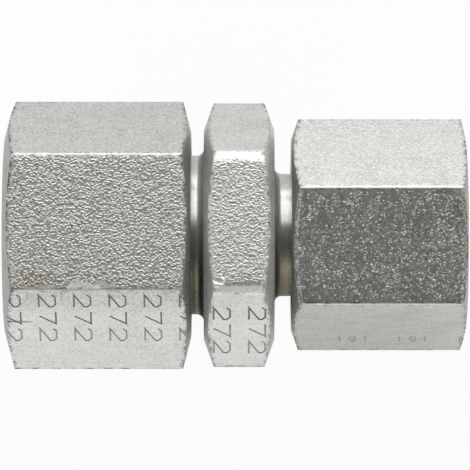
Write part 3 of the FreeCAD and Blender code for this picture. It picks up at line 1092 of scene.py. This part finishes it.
def white_bench(studio):
    """White bench; the camera sees it as nearly plain white, with the shadows on it."""
    side = studio.floor_side / 2
    level = cad_box[0][2]
    corners = [(-side, -side, level), (side, -side, level), (side, side, level), (-side, side, level)]
    mesh = bpy.data.meshes.new("bench")
    mesh.from_pydata(corners, [], [(0, 1, 2, 3)])
    bench = add_object("bench", mesh)
    material, graph = new_material("white_bench")
    paper = graph.node("ShaderNodeBsdfDiffuse", None, {"Color": grey(studio.floor_paint)})
    glow = graph.node("ShaderNodeEmission", None, {"Color": (1, 1, 1, 1), "Strength": 1.0})
    graph.show(paper, glow, studio.floor_white, "ShaderNodeOutputMaterial")
    mesh.materials.append(material)


def grey(level):
    return (level, level, level, 1.0)


def room(scene):
    """World: pale walls round a dark patch overhead, and white where the camera looks past."""
    studio = scene.studio_sizes
    world = bpy.data.worlds.new("studio_room")
    scene.world = world
    world.use_nodes = True
    graph = Graph(world.node_tree)
    way = graph.node("ShaderNodeTexCoord").outputs["Generated"]
    tilt = studio.dark_tilt
    axis = (0.0, math.sin(tilt), math.cos(tilt))
    dot = {"operation": "DOT_PRODUCT"}
    facing = graph.field("ShaderNodeVectorMath", dot, {0: way, 1: axis}, "Value")
    dark = facing.above(math.cos(studio.dark_outer), math.cos(studio.dark_inner))
    behind = coordinates(graph, way)[1].above(-WALL_BLEND, WALL_BLEND)
    walls = graph.blend(behind, grey(studio.front_radiance), grey(studio.back_radiance))
    walls = graph.blend(dark, walls, grey(studio.dark_radiance))
    dim = graph.node("ShaderNodeBackground", None, {"Color": walls})
    white = graph.node("ShaderNodeBackground", None, {"Color": (1, 1, 1, 1)})
    graph.show(dim, white, 1.0, "ShaderNodeOutputWorld")


def aimed(place, target, up):
    """Matrix of a lamp or camera at a place, looking at a target, with a given side up."""
    back = (place - target).normalized()
    right = up.cross(back).normalized()
    axes = Matrix((right, back.cross(right), back)).transposed().to_4x4()
    return Matrix.Translation(place) @ axes


def softbox(studio):
    """Large soft light behind the connector, from the bench's level to nearly overhead."""
    lamp = bpy.data.lights.new("softbox", "AREA")
    lamp.shape = "RECTANGLE"
    lamp.size = studio.softbox_length
    lamp.size_y = studio.softbox_height
    lamp.energy = math.pi * lamp.size * lamp.size_y * studio.softbox_radiance
    holder = add_object("softbox", lamp)
    raised = studio.softbox_elevation
    place = Vector((0, math.cos(raised), math.sin(raised))) * studio.softbox_distance
    holder.matrix_world = aimed(place, Vector((0, 0, 0)), Vector((0, 0, 1)))


def camera(studio):
    """Long lens that looks down on the connector, as in the photograph."""
    lens = bpy.data.cameras.new("camera")
    lens.sensor_width = studio.sensor / MM
    lens.lens = lens.sensor_width * studio.pixels_per_mm / MM * studio.distance / studio.photo_width
    holder = add_object("camera", lens)
    raised = studio.elevation
    target = Vector((studio.aim, 0, 0))
    place = target + Vector((0, -math.cos(raised), math.sin(raised))) * studio.distance
    holder.matrix_world = aimed(place, target, Vector((0, 1, 0)))
    return holder


class CONNECTOR_PT_panel(bpy.types.Panel):
    """Buttons that build the connector piece by piece"""

    bl_label = "Threaded connector"
    bl_idname = "CONNECTOR_PT_panel"
    bl_space_type = "VIEW_3D"
    bl_region_type = "UI"
    bl_category = "Connector"

    def draw(self, context):
        column = self.layout.column()
        column.operator(CONNECTOR_OT_body.bl_idname)
        for end_name in ("large", "small"):
            column.operator(CONNECTOR_OT_nut.bl_idname, text=end_name + " nut").end_name = end_name
        column.operator(CONNECTOR_OT_wires.bl_idname)
        column.operator(CONNECTOR_OT_studio.bl_idname)


GROUP_ROWS = {
    "large_end": (END_ROWS, 0),
    "small_end": (END_ROWS, 1),
    "body_sizes": (BODY_ROWS, 0),
    "fit_sizes": (FIT_ROWS, 0),
    "body_stamp": (STAMP_ROWS, 0),
    "large_stamp": (STAMP_ROWS, 1),
    "small_stamp": (STAMP_ROWS, 2),
    "body_wear": (WEAR_ROWS, 0),
    "large_wear": (WEAR_ROWS, 1),
    "small_wear": (WEAR_ROWS, 2),
    "finish_colours": (COLOUR_ROWS, 0),
    "studio_sizes": (STUDIO_ROWS, 0),
}
GROUPS = {name: group(name.title().replace("_", ""), *rows) for name, rows in GROUP_ROWS.items()}
CLASSES = (
    CONNECTOR_OT_body, CONNECTOR_OT_nut, CONNECTOR_OT_wires, CONNECTOR_OT_studio, CONNECTOR_PT_panel,
)


def register():
    for name, sizes in GROUPS.items():
        bpy.utils.register_class(sizes)
        setattr(bpy.types.Scene, name, PointerProperty(type=sizes))
    for shown in CLASSES:
        bpy.utils.register_class(shown)


def unregister():
    for shown in reversed(CLASSES):
        bpy.utils.unregister_class(shown)
    for name, sizes in reversed(GROUPS.items()):
        delattr(bpy.types.Scene, name)
        bpy.utils.unregister_class(sizes)


def main():
    register()
    bpy.ops.connector.studio()
    bpy.ops.connector.body()
    for end_name in ("large", "small"):
        bpy.ops.connector.nut(end_name=end_name)
    bpy.ops.connector.wires()
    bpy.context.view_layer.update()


if __name__ == "__main__":
    main()
